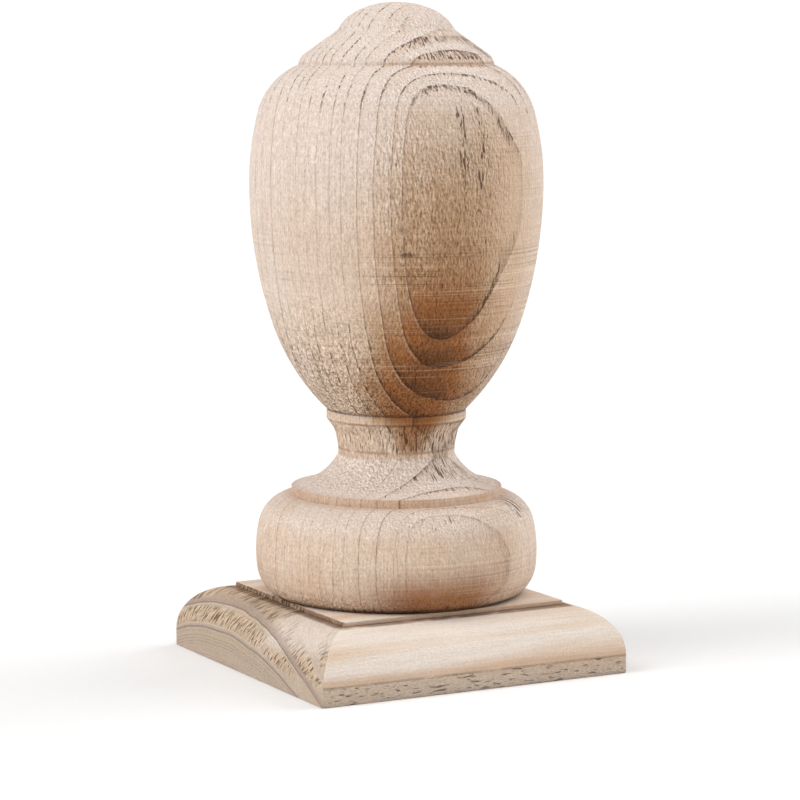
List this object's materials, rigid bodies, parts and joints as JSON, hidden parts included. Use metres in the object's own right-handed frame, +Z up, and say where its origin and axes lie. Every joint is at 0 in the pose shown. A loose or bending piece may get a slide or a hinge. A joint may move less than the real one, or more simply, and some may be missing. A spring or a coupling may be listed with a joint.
{
  "type": "fence post cap",
  "caption": "Turned softwood finial screwed to a moulded square cap plate that sits on top of a square fence post.",
  "frame": {"origin": "middle of the cap plate's underside, where it sits on the post", "axes": "+Z up along the finial's axis; X along the plate's grain, so its end grain is on the -X and +X sides; -Y is the front"},
  "size_m": [0.092, 0.092, 0.22],
  "materials": {
    "finial_wood": "unfinished pale softwood, turned, grain along Z",
    "plate_wood": "unfinished pale softwood, moulded, grain along X, end grain on the X faces",
    "screw_steel": "bright zinc plated, rolled thread",
    "plated_steel": "yellow zinc plated"
  },
  "bodies": {
    "cap_plate": {"cap_plate": "plate_wood", "plate_screws": "plated_steel"},
    "dowel_screw": {"dowel_screw": "screw_steel"},
    "finial": {"finial": "finial_wood"}
  },
  "joints": [
    {"name": "screw_rise", "type": "slide", "parent": "cap_plate", "child": "dowel_screw", "axis": [0, 0, 1], "range_m": [0, 0.0396]},
    {"name": "finial_turn", "type": "hinge", "parent": "dowel_screw", "child": "finial", "pos_m": [0, 0, 0.019], "axis": [0, 0, 1], "range_deg": [0, 3960]}
  ],
  "couplings": [
    {"joint": "screw_rise", "follows": "finial_turn", "m_per_rad": 0.00057296}
  ]
}
